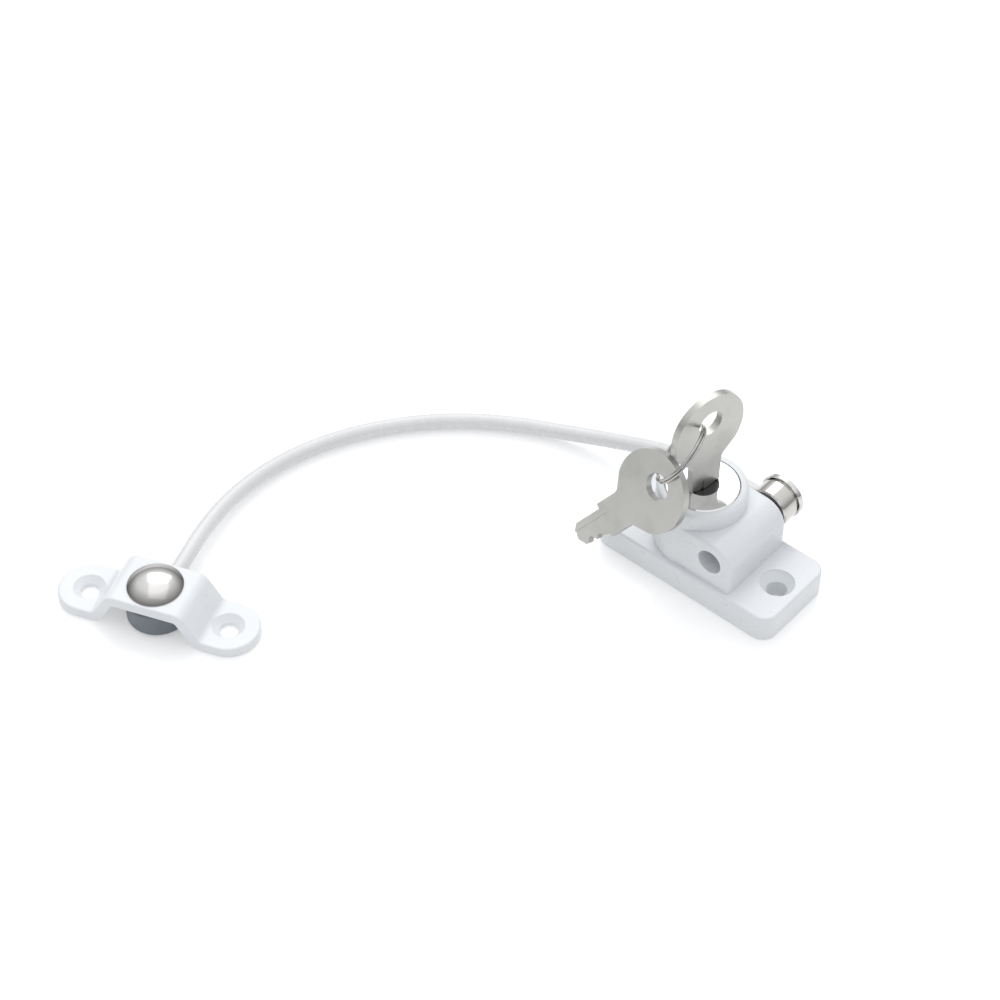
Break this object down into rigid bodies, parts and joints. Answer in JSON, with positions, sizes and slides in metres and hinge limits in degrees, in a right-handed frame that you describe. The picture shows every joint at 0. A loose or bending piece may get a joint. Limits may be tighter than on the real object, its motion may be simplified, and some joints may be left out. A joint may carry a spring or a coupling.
{
  "type": "window restrictor cable",
  "caption": "Key-locking window restrictor: lock block with barrel and spare key, coated steel cable with a plug-in connector, swivelling fixing bracket.",
  "frame": {"origin": "midway between the lock block's two fixing holes, on its mounting face", "axes": "+X along the lock plate towards the end with the connector tunnel, +Y out of the tunnel the way the connector pulls, +Z away from the mounting face"},
  "size_m": [0.1429, 0.1352, 0.0548],
  "materials": {
    "white_powder_coat": "gloss powder coat on zinc casting",
    "zinc_plate": "zinc plated sheet",
    "steel_screw": "plated steel",
    "black_acetal": "moulded acetal",
    "polished_chrome": "mirror chrome",
    "cylinder_brass": "turned, nickel flashed face",
    "wafer_brass": "stamped brass",
    "hard_steel": "hardened steel",
    "spring_steel": "spring steel",
    "nickel_key": "satin nickel plated",
    "ring_steel": "bright nickel wire",
    "satin_nickel": "turned, satin nickel",
    "bright_nickel": "bright nickel",
    "white_cable_jacket": "smooth extruded jacket over steel wire rope",
    "wire_rope_steel": "stranded wire",
    "grey_cast_eye": "grey cast zinc",
    "brushed_stainless": "radially polished stainless"
  },
  "bodies": {
    "lock_body": {"lock_housing": "white_powder_coat", "base_cover": "zinc_plate", "cover_screws": "steel_screw", "bolt_keeper": "black_acetal", "lock_barrel_shell": "polished_chrome", "barrel_retaining_pin": "steel_screw"},
    "cylinder_plug": {"plug_core": "cylinder_brass", "drive_pin": "hard_steel", "wafer_tumblers": "wafer_brass", "wafer_springs": "spring_steel", "plug_circlip": "spring_steel"},
    "bolt": {"locking_bolt": "hard_steel"},
    "key": {"lock_key": "nickel_key"},
    "key_ring": {"split_key_ring": "ring_steel"},
    "spare_key": {"spare_key": "nickel_key"},
    "washer_carriage": {"thrust_washer": "black_acetal"},
    "connector": {"connector_body": "satin_nickel", "connector_end_cap": "bright_nickel", "cable": "white_cable_jacket", "lock_end_ferrule": "spring_steel", "lock_end_wire_core": "wire_rope_steel", "swivel_eye": "grey_cast_eye"},
    "bracket": {"bracket_strap": "white_powder_coat", "swivel_rivet": "hard_steel", "rivet_dome_cap": "brushed_stainless", "upper_swivel_washer": "black_acetal", "lower_swivel_washer": "black_acetal"}
  },
  "joints": [
    {"name": "key_turn", "type": "hinge", "parent": "lock_body", "child": "cylinder_plug", "pos_m": [-0.0038, 0, 0.02], "axis": [0, 0, 1], "range_deg": [0, 90]},
    {"name": "bolt_throw", "type": "slide", "parent": "lock_body", "child": "bolt", "axis": [1, 0, 0], "range_m": [0, 0.0031]},
    {"name": "key_withdraw", "type": "slide", "parent": "cylinder_plug", "child": "key", "axis": [0, 0, 1], "range_m": [0, 0.016]},
    {"name": "ring_swing", "type": "hinge", "parent": "key", "child": "key_ring", "pos_m": [-0.00411, -0.00148, 0.04593], "axis": [0.637, -0.603, 0.4802], "range_deg": [-30, 0]},
    {"name": "spare_key_swing", "type": "hinge", "parent": "key_ring", "child": "spare_key", "pos_m": [-0.00692, -0.01389, 0.03529], "axis": [-0.6488, 0.5508, -0.525], "range_deg": [-10, 6]},
    {"name": "connector_pull", "type": "slide", "parent": "lock_body", "child": "washer_carriage", "axis": [0, 1, 0], "range_m": [0, 0.024]},
    {"name": "connector_spin", "type": "hinge", "parent": "washer_carriage", "child": "connector", "pos_m": [0.0076, 0.0148, 0.01476], "axis": [0, 1, 0], "continuous": true},
    {"name": "bracket_swivel", "type": "hinge", "parent": "connector", "child": "bracket", "pos_m": [-0.09085, -0.10133, 0.005], "axis": [0, 0, 1], "range_deg": [-42, 39]}
  ],
  "couplings": [
    {"joint": "bolt_throw", "follows": "key_turn", "m_per_rad": 0.0019099}
  ]
}
